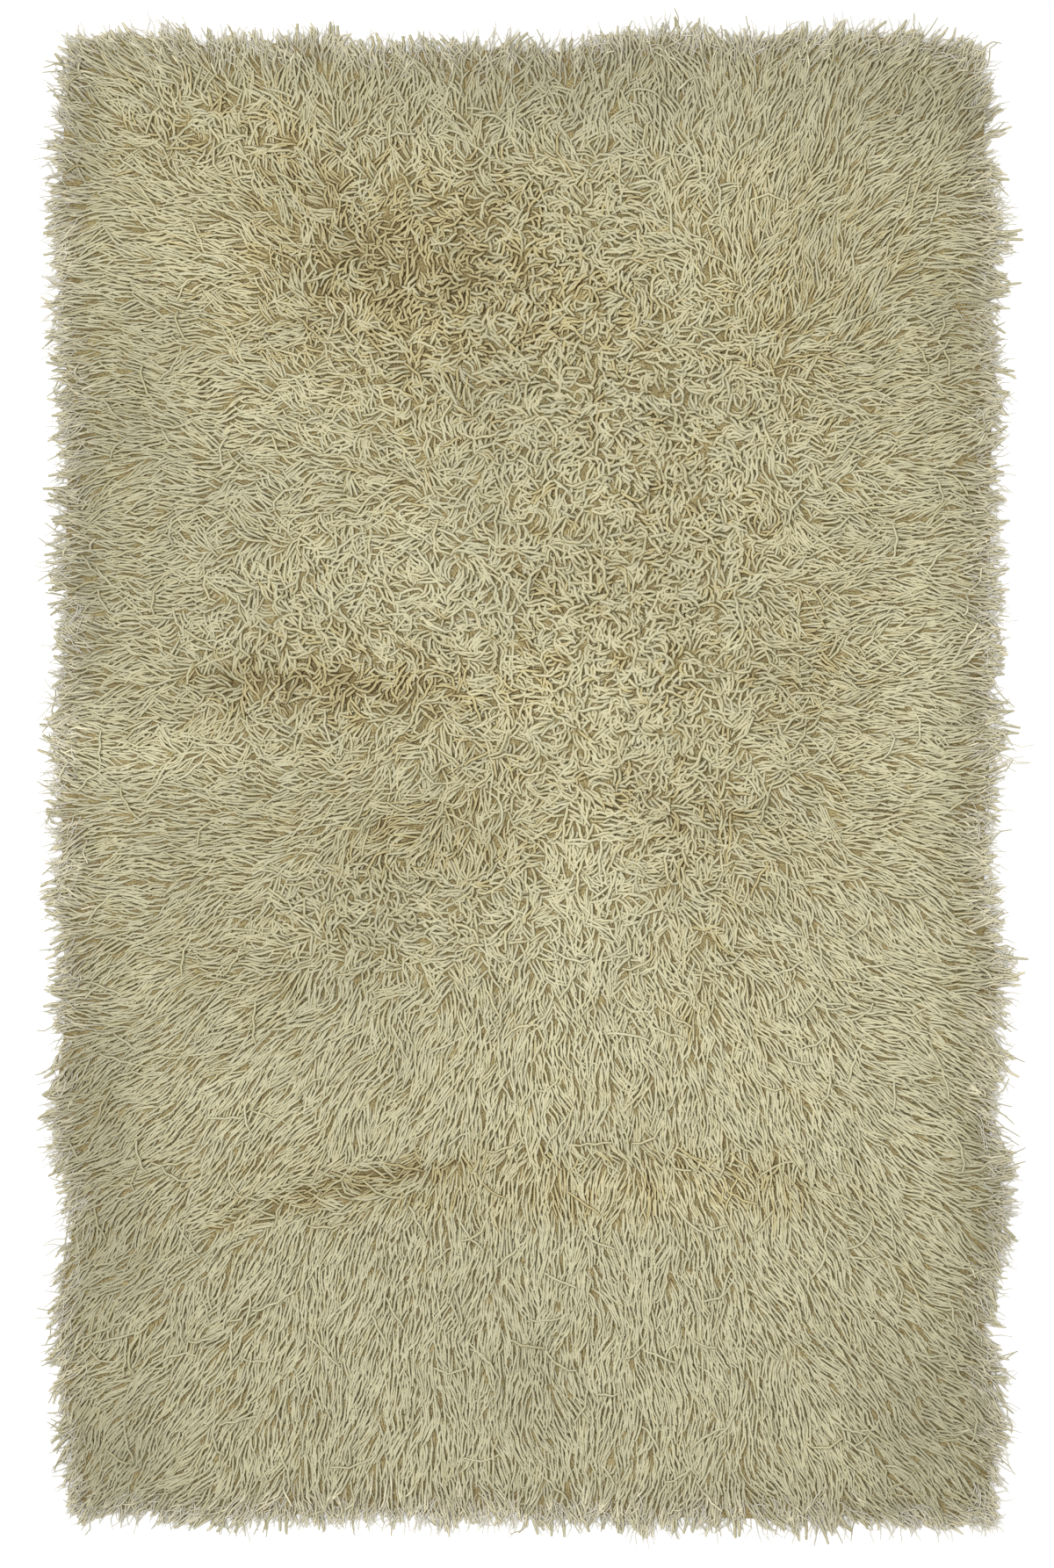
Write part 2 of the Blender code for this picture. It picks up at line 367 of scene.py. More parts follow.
def fibres_at(place, fibre_scale, patch_scale, contrast):
    """The tone and the height of the wool's fibres at a place."""
    made = node(place.tree, "ShaderNodeGroup", node_tree=wool_fibre)
    feed(made.inputs["Place"], place)
    feed(made.inputs["Fibre Scale"], fibre_scale)
    feed(made.inputs["Patch Scale"], patch_scale)
    feed(made.inputs["Contrast"], contrast)
    return Wire(made.outputs["Tone"]), Wire(made.outputs["Height"])


def finish_wool(shader, base, height, bump_depth, bump_strength, roughness, gloss=0.5):
    """Gives a wool's shader its colour, its relief and its dull surface."""
    bump = {"Height": height, "Distance": bump_depth, "Strength": bump_strength}
    feed(shader["Base Color"], base)
    feed(shader["Normal"], wire(height.tree, "ShaderNodeBump", "Normal", bump))
    feed(shader["Roughness"], roughness)
    feed(shader["Specular IOR Level"], gloss)


def ground_cloth_material():
    """Plain weave crossed by rows of knots, drawn from the cloth's own place across and along the rug."""
    material, tree, shader = new_material("ground_cloth_wool")
    place = wire(tree, "ShaderNodeTexCoord", "Object")
    axes = parts(place)
    warp = maths("SINE", axes["X"] * (math.tau / WARP_PITCH))
    row = maths("SINE", axes["Y"] * (math.tau / KNOT_ROW_PITCH))
    knots = row * KNOT_RELIEF + warp * WARP_RELIEF + 0.5
    tone, fibres = fibres_at(place, fibre_scale=420.0, patch_scale=9.0, contrast=0.45)
    base = scaled(mixed(knots, CLOTH_COLOUR, KNOT_COLOUR), tone)
    height = knots + fibres * FIBRE_RELIEF
    finish_wool(shader, base, height, bump_depth=0.0016, bump_strength=0.8, roughness=0.95)
    return material


ground_cloth = plain_object(
    "ground_cloth",
    fitted_slab("ground_cloth", CLOTH_CELL, 0.0, lambda x, y: CLOTH_LIFT + CLOTH_THICKNESS, CLOTH_LIFT),
    ground_cloth_material(),
)
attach(ground_cloth, "root")


# ---- Pile bed: the crowded lower half of the pile, where the yarns stand too close to be told apart ----
# It is matted wool, painted darker and browner than the yarns' ends as shade, because little light reaches
# it.
# It fills the solid under the layer of ends that lies on top, and it stands in for the imported solid.

LAYER = 0.011  # the thickness of the layer of yarn ends that lies over the bed
BED_LEAST = 0.0045
BED_SINKING = 0.0005  # how far the bed lies under that where it is thinnest
BED_GAP = 0.0002  # between the bed and the cloth
BED_CELL = 0.023
BED_INSET = -0.012
BED_TUFTS = 0.0022
BED_TUFT_PITCH = 0.028
BED_LOCK_PITCH = 0.022
BED_YARN_PITCH = 0.0042
BED_SWAY = 0.9  # how far a lock's strands turn from the combed way, in radians, from one side to the other
LOOSE_SWAY = 4.0  # how much further where the pile is curled
LOWER_TURN = 0.6  # of the lower layer of strands against the upper one
LOWER_FINENESS = 0.7
# How light the lower layer of strands is, painted in shade under the upper one
LOWER_LEVEL = 0.75
CUT_END_LEVEL = 0.35  # how light a strand still is where it ends
STRAND_BEND = 3.0  # how far strands wander sideways, in strands
STRAND_BEND_SCALE = 60.0
STRAND_CUTS = 55.0  # ends along a metre of strand
CUT_FROM, CUT_TO = 0.30, 0.50
GROOVE_FROM, GROOVE_TO = 0.10, 0.65
GROUND_CELL = 0.015
GROUND_REACH = 0.090  # how far the yarns' ground runs on past the solid's box
MOTTLE = 0.10  # how much lighter or darker the field is from place to place
MOTTLE_PITCH = 0.090
APRON = 0.030  # past the edge, the yarn comes down to the floor over this distance
PROBE_STEP = 0.004
ROOM_PROBED = 0.130
ROOM_FROM = -0.02  # the yarns' room is felt for from here, outside the edge, to here, inside it
ROOM_TO = 0.11
FOLD_CURL = 0.5
LEAST_BROWN = -0.4
# How far painted shade darkens the bed in the hollows, along the folds and near the rim
HOLLOW_BED_SHADE = 0.6
RIM_SHADE = 1.0  # painted shade: the pile is drawn a little greyer and darker in a belt just inside the rim
RIM_BED_SHADE = 0.55  # the same painted shade on what shows of the bed between the rim's yarns
# The bed's grooves and hollows take the first colour, which is painted shade; its strands take the second
BED_GROOVE_SHADE = (0.085, 0.055, 0.016, 1.0)
BED_LIGHT = (0.372, 0.304, 0.146, 1.0)
WOOL_GLOSS = 0.15

# The way the pile lies, as combed by use: rows across the rug, from head to foot, each with the direction of
# the yarns' tips at seven places, in degrees anticlockwise from +X
COMB_ACROSS = (-0.73, -0.51, -0.30, -0.01, 0.27, 0.49, 0.69)
Comb = namedtuple("Comb", "along turns")
COMBING = (
    Comb(1.19, (135, 108, 95, 90, 88, 60, 45)),
    Comb(1.06, (160, 115, 98, 90, 88, 62, 38)),
    Comb(0.95, (178, 168, 110, 92, 92, 50, 5)),
    Comb(0.80, (180, 175, 150, 110, 90, 55, 0)),
    Comb(0.64, (180, 180, 150, 100, 60, 15, 0)),
    Comb(0.46, (180, 180, 178, 170, 20, 2, 0)),
    Comb(0.26, (180, 182, 215, 265, 330, 0, 0)),
    Comb(-0.02, (182, 184, 195, 270, 325, 350, 0)),
    Comb(-0.22, (195, 200, 220, 273, 300, 320, 350)),
    Comb(-0.44, (205, 214, 238, 270, 280, 308, 345)),
    Comb(-0.75, (222, 232, 250, 270, 275, 305, 328)),
    Comb(-1.15, (225, 246, 267, 270, 273, 296, 320)),
)
SWIRL = 0.75  # how far the pile is turned from the combed way by how it happens to lie, in radians
SWIRL_PITCH = 0.085

# Patches of the field that differ from the rest: the X and Y of their middle, how far they reach across and
# along the rug, and how much they differ
PATCH_FALLOFF = 0.9
CURLY_PATCHES = (
    (-0.07, 0.79, 0.29, 0.25, 1.0),
    (0.17, 0.2, 0.23, 0.4, 1.0),
    (-0.34, 0.23, 0.25, 0.19, 0.75),
    (-0.23, -0.22, 0.2, 0.09, 0.8),
    (-0.53, 1.06, 0.12, 0.06, 0.7),
    (0.32, 0.56, 0.16, 0.14, 0.45),
)
# Painted shade in the hollows, where the pile parts and one sees deeper into it
HOLLOW_SHADE_PATCHES = (
    (-0.285, 0.858, 0.08, 0.065, 0.72),
    (-0.083, 0.828, 0.075, 0.065, 0.8),
    (-0.14, 0.94, 0.07, 0.04, 0.45),
    (-0.37, 0.955, 0.07, 0.05, 0.35),
    (-0.36, 0.8, 0.055, 0.06, 0.4),
    (0.22, 0.52, 0.05, 0.15, 0.22),
    (-0.1, 0.654, 0.11, 0.045, 0.28),
    (-0.4, 0.165, 0.13, 0.03, 0.38),
    (0.47, 0.89, 0.05, 0.1, 0.48),
    (0.54, 0.7, 0.045, 0.09, 0.25),
    (0.378, 0.16, 0.06, 0.05, 0.4),
    (0.228, 0.354, 0.055, 0.055, 0.18),
    (0.675, 0.1, 0.05, 0.05, 0.25),
    (0.25, -0.055, 0.19, 0.035, 0.32),
    (-0.12, -0.085, 0.12, 0.034, 0.34),
    (0.29, -0.27, 0.04, 0.11, 0.3),
    (-0.37, -0.32, 0.11, 0.03, 0.22),
    (-0.582, -0.145, 0.045, 0.045, 0.18),
    (-0.295, -0.656, 0.11, 0.028, 0.4),
)
LIGHT_PATCHES = (
    (0.278, 0.816, 0.12, 0.08, 0.16),
    (-0.52, 0.84, 0.08, 0.09, 0.28),
    (-0.495, 0.616, 0.13, 0.07, 0.22),
    (-0.183, 0.354, 0.1, 0.08, 0.22),
    (-0.61, 0.037, 0.13, 0.035, 0.45),
    (0.59, 0.017, 0.08, 0.045, 0.36),
    (0.61, 0.22, 0.1, 0.12, 0.3),
    (0.02, 0.15, 0.15, 0.06, 0.36),
    (0.079, -0.13, 0.05, 0.16, 0.34),
    (0.02, -0.38, 0.08, 0.26, 0.26),
    (0.54, -0.33, 0.14, 0.28, 0.24),
    (0.3, -0.38, 0.14, 0.3, 0.16),
    (-0.47, -0.519, 0.14, 0.06, 0.22),
    (0.228, -0.45, 0.3, 0.15, 0.14),
    (0.35, -0.85, 0.25, 0.15, 0.08),
    (0.45, 0.43, 0.12, 0.1, 0.1),
    (0.24, -0.66, 0.13, 0.05, 0.28),
)
# Where the wool is drawn duller and darker, without parting it
DULL_PATCHES = (
    (-0.6, -0.2, 0.2, 1.2, 0.16),
    (-0.72, 0.33, 0.045, 0.14, 0.5),
    (-0.66, 0.62, 0.1, 0.16, 0.36),
    (-0.67, -0.79, 0.1, 0.1, 0.36),
    (0.08, 1.12, 0.38, 0.07, 0.42),
    (-0.28, -0.25, 0.12, 0.15, 0.2),
    (-0.705, -0.57, 0.055, 0.19, 0.62),
    (-0.68, -1.09, 0.08, 0.11, 0.6),
    (-0.74, 1.05, 0.05, 0.12, 0.55),
    (0.627, -1.04, 0.09, 0.13, 0.5),
    (0.61, 1.1, 0.14, 0.065, 0.38),
    (0.67, 0.78, 0.05, 0.07, 0.24),
    (0.72, -0.69, 0.045, 0.11, 0.3),
    (0.004, -0.97, 0.07, 0.11, 0.18),
    (-0.25, -1.0, 0.3, 0.12, 0.08),
    (-0.06, 0.6, 0.06, 0.24, 0.18),
)
# Where the pile is browner: here the yarns take shades of partly browner wool and partly more painted shade
# on their sides and roots
BROWN_PATCHES = (
    (-0.2, 0.84, 0.34, 0.2, 0.95),
    (0.1, 0.3, 0.45, 0.38, 0.45),
    (-0.33, 0.16, 0.26, 0.08, 0.55),
    (0.44, 0.82, 0.2, 0.2, 0.45),
    (-0.52, 1.07, 0.18, 0.09, 0.5),
    (0.1, -0.07, 0.4, 0.08, 0.35),
    (-0.3, -0.66, 0.3, 0.06, 0.5),
    (-0.4, -0.28, 0.25, 0.09, 0.25),
    (0.29, -0.27, 0.08, 0.14, 0.35),
    (0.25, -0.67, 0.28, 0.04, 0.8),
    (-0.22, -0.1, 0.15, 0.05, 0.5),
    (0.45, 0.19, 0.1, 0.08, 0.35),
    (0.64, 0.15, 0.08, 0.22, -0.35),
    (0.085, -0.16, 0.06, 0.13, -0.45),
    (-0.13, 0.32, 0.1, 0.13, -0.35),
    (0.6, -0.48, 0.11, 0.3, -0.35),
    (-0.68, -0.01, 0.08, 0.06, -0.4),
    (0.05, -0.95, 0.6, 0.22, -0.35),
    (0.2, 1.1, 0.45, 0.07, -0.3),
)
# Where the rim's locks are longest, and stick together as tufts
TUFT_PATCHES = (
    (0.755, 0.79, 0.035, 0.022, 0.6),
    (0.755, 0.095, 0.035, 0.02, 0.5),
    (0.76, 0.045, 0.04, 0.026, 1.0),
    (0.75, -0.31, 0.03, 0.045, 0.5),
    (0.75, -0.455, 0.035, 0.026, 0.6),
    (0.75, -0.6, 0.035, 0.05, 0.55),
    (0.75, -0.93, 0.035, 0.026, 0.55),
    (0.492, 1.2, 0.026, 0.035, 0.6),
    (0.276, 1.2, 0.024, 0.035, 0.5),
    (0.45, -1.195, 0.026, 0.03, 0.5),
)

# Folds that were pressed into the rug in storage. A fold bows sideways between its ends, and over part of its
# length the yarns lie along it in a tangle. Along it the pile is drawn darker and browner, as painted shade.
Fold = namedtuple("Fold", "start end bow half_width dark tangle_from tangle_to tangle_half_width")
FOLDS = (
    Fold((-0.59, -0.755), (0.54, -0.66), 0.098, 0.014, 0.62, 0.06, 0.42, 0.036),
    Fold((-0.58, 0.172), (-0.06, 0.1), 0.016, 0.024, 0.34, 0.05, 0.75, 0.03),
    Fold((-0.005, -0.08), (0.005, -0.5), 0.0, 0.012, 0.18, 0.0, 0.0, 0.02),
)
FOLD_FADE = 0.12  # the share of a fold's length over which it comes in from either end
TANGLE_FADE = 0.05


def fold_place(fold, x, y):
    """The share of the fold's length beside a place, and how far from the fold the place is."""
    run_x, run_y = fold.end[0] - fold.start[0], fold.end[1] - fold.start[1]
    length = math.hypot(run_x, run_y)
    share = ((x - fold.start[0]) * run_x + (y - fold.start[1]) * run_y) / length**2
    aside = ((y - fold.start[1]) * run_x - (x - fold.start[0]) * run_y) / length
    share = np.clip(share, 0, 1)
    return share, aside - fold.bow * np.sin(math.pi * share)


def fold_shadow(x, y):
    """How dark the parted pile is along the folds."""
    total = np.zeros_like(x)
    for fold in FOLDS:
        share, aside = fold_place(fold, x, y)
        fade = np.clip(np.minimum(share, 1 - share) / FOLD_FADE, 0, 1)
        total += fold.dark * fade * np.exp(-((aside / fold.half_width) ** 2))
    return total


def fold_tangle(fold, x, y):
    """Nought to one where the yarns lie along a fold and not the combed way."""
    share, aside = fold_place(fold, x, y)
    ends = np.clip(np.minimum(share - fold.tangle_from, fold.tangle_to - share) / TANGLE_FADE, 0, 1)
    return ends * np.exp(-((aside / fold.tangle_half_width) ** 4))


def patch_sum(patches, x, y):
    """What the patches add up to at each place, fading out from their middles."""
    total = np.zeros_like(x)
    for middle_x, middle_y, reach_x, reach_y, amount in patches:
        away = ((x - middle_x) / reach_x) ** 2 + ((y - middle_y) / reach_y) ** 2
        total += amount * np.exp(-away * PATCH_FALLOFF)
    return total


def wandering(x, y, pitch, layer):
    """A number about nought that wanders from place to place, over about this distance."""
    places = zip(np.ravel(x), np.ravel(y))
    found = [noise.noise(Vector((*place, layer)) / pitch) for place in places]
    return np.reshape(found, np.shape(x))


def combed_way(x, y):
    """The direction of the tips at each place, as a unit vector, eased between the rows of the combing."""
    rows = [comb.along for comb in COMBING][::-1]
    ways = []
    for part in (np.cos, np.sin):
        by_row = [np.interp(x, COMB_ACROSS, part(np.radians(comb.turns))) for comb in COMBING][::-1]
        share = np.interp(y, rows, np.arange(len(rows)))
        lower = np.minimum(share.astype(int), len(rows) - 2)
        share = share - lower
        stack = np.stack(by_row)
        picked = [np.take_along_axis(stack, (lower + step)[None], 0)[0] for step in (0, 1)]
        ways.append(picked[0] * (1 - share) + picked[1] * share)
    for fold in FOLDS:
        tangle = fold_tangle(fold, x, y)
        length = math.dist(fold.start, fold.end)
        for axis in (0, 1):
            along_fold = (fold.start[axis] - fold.end[axis]) / length
            ways[axis] = ways[axis] * (1 - tangle) + along_fold * tangle
    way = np.arctan2(ways[1], ways[0]) + SWIRL * wandering(x, y, SWIRL_PITCH, 9.0)
    return np.cos(way), np.sin(way)


def solid_top(x, y):
    """The height of the solid's top at a place, or nought beside it."""
    hit = solid_tree.ray_cast(Vector((x, y, 1.0)), Vector((0.0, 0.0, -1.0)))[0]
    return hit.z if hit else 0.0


def smoothed(heights):
    """A grid of heights with each averaged with its neighbours."""
    padded = np.pad(heights, 1, mode="edge")
    across = (padded[:, :-2] + 2 * padded[:, 1:-1] + padded[:, 2:]) / 4
    return (across[:-2] + 2 * across[1:-1] + across[2:]) / 4


def room_ahead(x, y, way_x, way_y):
    """How far a yarn can lie out from a place before it passes the tips of the solid's locks."""
    reach = 0.0
    while reach < ROOM_PROBED and solid_top(x + way_x * reach, y + way_y * reach) > 0.0:
        reach += PROBE_STEP
    return reach


def rim_belt(depth, middle, half_width):
    """One at this depth inside the pile's edge, fading out on both sides of it."""
    return np.exp(-(((depth - middle) / half_width) ** 2))


ground_x = np.arange(-half_width - GROUND_REACH, half_width + GROUND_REACH, GROUND_CELL)
ground_y = np.arange(-half_length - GROUND_REACH, half_length + GROUND_REACH, GROUND_CELL)
grid_x, grid_y = np.meshgrid(ground_x, ground_y)
inside = depth_inside(grid_x, grid_y)
lie_x, lie_y = combed_way(grid_x, grid_y)
parted = fold_shadow(grid_x, grid_y)
top = np.array([[solid_top(x, y) for x in ground_x] for y in ground_y])
ground_height = np.maximum(smoothed(top) - LAYER, BED_LEAST) * np.clip(1 + inside / APRON, 0, 1)
# Painted shade: in the hollows and along the folds, and for the yarns also in a belt inside the rim
hollow = patch_sum(HOLLOW_SHADE_PATCHES, grid_x, grid_y) + parted
dark = hollow + RIM_SHADE * rim_belt(inside, middle=0.014, half_width=0.026)
light = patch_sum(LIGHT_PATCHES, grid_x, grid_y) - patch_sum(DULL_PATCHES, grid_x, grid_y)
light += MOTTLE * wandering(grid_x, grid_y, MOTTLE_PITCH, 5.0)
# The folds' painted shade browns the pile too
brown = np.clip(patch_sum(BROWN_PATCHES, grid_x, grid_y) + parted, LEAST_BROWN, 1)
curl = np.clip(patch_sum(CURLY_PATCHES, grid_x, grid_y) + FOLD_CURL * parted, 0, 1)
tufted = np.clip(patch_sum(TUFT_PATCHES, grid_x, grid_y), 0, 1)
room = np.full_like(grid_x, 1.0)
for at_rim in zip(*np.nonzero((inside > ROOM_FROM) & (inside < ROOM_TO))):
    room[at_rim] = room_ahead(grid_x[at_rim], grid_y[at_rim], lie_x[at_rim], lie_y[at_rim])


def ground_at(x, y):
    """The height of the yarns' ground at a place, between the corners of its grid."""
    across = (x - ground_x[0]) / GROUND_CELL
    along = (y - ground_y[0]) / GROUND_CELL
    column, row = int(across), int(along)
    across, along = across - column, along - row
    near = ground_height[row, column] * (1 - across) + ground_height[row, column + 1] * across
    far = ground_height[row + 1, column] * (1 - across) + ground_height[row + 1, column + 1] * across
    return float(near * (1 - along) + far * along)


def bed_top(x, y):
    """The height of the bed at a place: the yarns' ground, with small tufts on it."""
    tufts = float(wandering(x, y, BED_TUFT_PITCH, 3.0))
    return max(BED_LEAST - BED_SINKING, ground_at(x, y) + BED_TUFTS * tufts)


def vectors(operation, first, second):
    """One step of arithmetic with a vector on a wire and another vector."""
    inputs = {"Vector": first, "Vector_001": second}
    return wire(first.tree, "ShaderNodeVectorMath", 0, inputs, operation=operation)


def vector_of(tree, **axes):
    """A vector from its X, Y and Z, with nought for one that isn't given."""
    return wire(tree, "ShaderNodeCombineXYZ", 0, axes)


def smooth_share(value, start, end):
    """Nought to one with level ends, as the value runs from start to end."""
    inputs = {"Value": value, "From Min": start, "From Max": end}
    return wire(value.tree, "ShaderNodeMapRange", "Result", inputs, interpolation_type="SMOOTHSTEP")


def strands(place, lie, loose, lock_pitch):
    """Strands in locks, each turned a little from the combed way: nought in a groove, one on a strand."""
    cells = wires(node(place.tree, "ShaderNodeTexVoronoi", {"Vector": place, "Scale": 1 / lock_pitch}))
    own = parts(cells["Color"])["X"]
    turn = lie + (own - 0.5) * (loose * LOOSE_SWAY + BED_SWAY)
    local = {"Vector": vectors("SUBTRACT", place, cells["Position"]), "Angle": turn * -1.0}
    laid = parts(wire(place.tree, "ShaderNodeVectorRotate", 0, local, rotation_type="Z_AXIS"))
    bend = mottle(place, scale=STRAND_BEND_SCALE, detail=1.0)
    across = laid["Y"] / BED_YARN_PITCH + bend * STRAND_BEND
    ridge = maths("ABSOLUTE", maths("SINE", across * math.pi))
    cut = vector_of(place.tree, X=laid["X"] * STRAND_CUTS, Y=maths("FLOOR", across), Z=own)
    ends = mottle(cut, scale=1.0, detail=0.0)
    whole = smooth_share(ends, CUT_FROM, CUT_TO) * (1 - CUT_END_LEVEL) + CUT_END_LEVEL
    return smooth_share(ridge, GROOVE_FROM, GROOVE_TO) * whole


def bed_material():
    """Matted wool: the lower yarns show as two crossing layers of strands, the lower one darker, with painted
    shade in the grooves between them.
    """
    material, tree, shader = new_material("matted_wool")
    place = wire(tree, "ShaderNodeTexCoord", "Object")
    names = ("lie_angle", "curl", "hollow")
    lie, loose, bed_shade = (wire(tree, "ShaderNodeAttribute", "Fac", attribute_name=name) for name in names)
    upper = strands(place, lie, loose, BED_LOCK_PITCH)
    lower = strands(place, lie + LOWER_TURN, loose, BED_LOCK_PITCH * LOWER_FINENESS)
    # Painted shade darkens the bed in the hollows, along the folds and near the rim
    share = maths("MAXIMUM", upper, lower * LOWER_LEVEL) * (1.0 - bed_shade * HOLLOW_BED_SHADE)
    tone, fibres = fibres_at(place, fibre_scale=650.0, patch_scale=14.0, contrast=0.35)
    base = scaled(mixed(share, BED_GROOVE_SHADE, BED_LIGHT), tone)
    height = share + fibres * FIBRE_RELIEF
    finish_wool(shader, base, height, bump_depth=0.003, bump_strength=0.8, roughness=0.95, gloss=WOOL_GLOSS)
    return material


bed_mesh = fitted_slab("pile_bed", BED_CELL, BED_INSET, bed_top, CLOTH_LIFT + CLOTH_THICKNESS + BED_GAP)
bed_x, bed_y = np.array([vert.co for vert in bed_mesh.vertices])[:, :2].T
bed_way = combed_way(bed_x, bed_y)
bed_rim = rim_belt(depth_inside(bed_x, bed_y), middle=0.004, half_width=0.022)
for name, values in (
    ("lie_angle", np.arctan2(bed_way[1], bed_way[0])),
    ("curl", np.clip(patch_sum(CURLY_PATCHES, bed_x, bed_y), 0, 1)),
    ("hollow", patch_sum(HOLLOW_SHADE_PATCHES, bed_x, bed_y) + fold_shadow(bed_x, bed_y) + RIM_BED_SHADE * bed_rim),
):
    bed_mesh.attributes.new(name, "FLOAT", "POINT").data.foreach_set("value", values)
pile_bed = plain_object("pile_bed", bed_mesh, bed_material())
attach(pile_bed, "root")
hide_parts("shag_rug")


# ---- Yarns: the ends of the pile, which lie over the bed like thatch and past the rim on to the floor ----
# Each is a loosely twisted two-ply wool yarn, cut at its tip and knotted into the ground cloth at its root.
# Several stick together as a lock. They are made in bands along the rug, one piece each, from one planting.

YARN_SIDES = 3
YARN_SECTION = (0.65, 1.32, 1.0)  # its height and its width, of a round yarn's
BANDS = (-1.40, -0.656, -0.147, 0.303, 0.735, 1.40)
MOST_ROOTS = 60000.0  # to a square metre, before those that stand too close are taken out
TINT_LEVELS = 12
TINT_HUES = 5
YARN_HUES = 3  # of them in the field
TINT_ROWS = TINT_LEVELS * TINT_HUES
ROW_MARGIN = 0.08  # of a row's height, left bare on either side so that rows don't bleed into each other
THINNED_OVER = 0.016  # past the edge, fewer and fewer roots stand over this distance
HOLLOW_THINNING = 0.10
OWN_TINT_SPREAD = 0.11
STRAY_TURN = 1.1
STRAY_BEND = 2.0
LEAST_BEND = 0.0001  # so that a straight yarn has a bend too
WAVE_FROM = 0.35  # of the yarn's length, where its wave has come in whole
WAVE_SLOWING = 0.8  # of the wave up and down against the one from side to side
FALL_FROM = 0.3  # over the ground, from where a yarn's place on it is felt for
ROOT_FADE = 0.20  # of the yarn's length, over which it comes to its full width
MAP_MARGIN = 0.01

# What the yarns are laid by. Lengths and heights are in metres, turns and bends in radians, and widths in
# shares of the whole width. The share behind is the part of a yarn that lies behind its root.
YARN_INPUTS = {
    "Planting": "planted",
    "Seed": 7,
    "Yarn Spacing": 0.0070,
    "Lock Spacing": 0.020,
    "Yarn Radius": 0.0021,
    "Yarn Length": 0.053,
    "Length Spread": 0.22,
    "Combed Points": 4,
    "Curly Points": 5,
    "Stray Points": 4.0,
    "Rim Points": 1.2,
    "Lock Turn": 0.22,
    "Curly Turn": 2.6,
    "Own Turn": 0.13,
    "Curly Own Turn": 0.80,
    "Combed Bend": 0.55,
    "Curly Bend": 3.2,
    "Own Bend": 0.45,
    "Curly Own Bend": 1.7,
    "Stray Share": 0.016,
    "Stray Lengthening": 0.7,
    "Stray Lift": 0.006,
    "Curly Shortening": 0.31,
    "Rim Lengthening": 0.35,
    "Tuft Lengthening": 0.45,
    "Past Rim": 0.006,
    "Rim From": 0.035,
    "Rim To": 0.095,
    "Share Behind": 0.42,
    "Rim Share Behind": 0.15,
    "Gathering": 0.27,
    "Curly Gathering": 0.26,
    "Tuft Gathering": 0.65,
    "Wave Height": 0.0016,
    "Wave Length": 0.030,
    "Root Depth": 0.004,
    "Tip Lift": 0.0055,
    "Curly Lift": 1.5,
    "Lock Rise": 0.003,
    "Own Rise": 0.0025,
    "Curly Width": 1.48,
    "Root Width": 0.7,
    "Tip Width": 0.75,
    "Rim Tip Width": 0.50,
    "Tip From": 0.75,
    "Rim Tip From": 0.55,
    "Tint": 0.62,
    # how far the painted shade of the hollows, folds and rim lowers the tint
    "Tint Darkening": 0.34,
    "Lock Tint Spread": 0.05,
    "Curly Tint Spread": 0.18,
    "Browning": 0.55,
    "Rim Hue": 3.0,
    "Band From": -1.4,
    "Band To": 1.4,
}


def kept(geometry, name, value, data_type="FLOAT", domain="POINT"):
    """Stores an attribute, and gives the geometry back."""
    kind = "GeometryNodeStoreNamedAttribute"
    inputs = {"Geometry": geometry, "Name": name, "Value": value}
    return wire(geometry.tree, kind, "Geometry", inputs, data_type=data_type, domain=domain)


def blended(share, first, second):
    """A number eased in a straight line from first to second."""
    return share * (second - first) + first


def stepped(value, steps):
    """The step that a value from nought to one falls in, counted from nought."""
    held = wire(value.tree, "ShaderNodeClamp", 0, {"Value": value, "Min": 0.0, "Max": 0.999})
    return maths("FLOOR", held * steps)


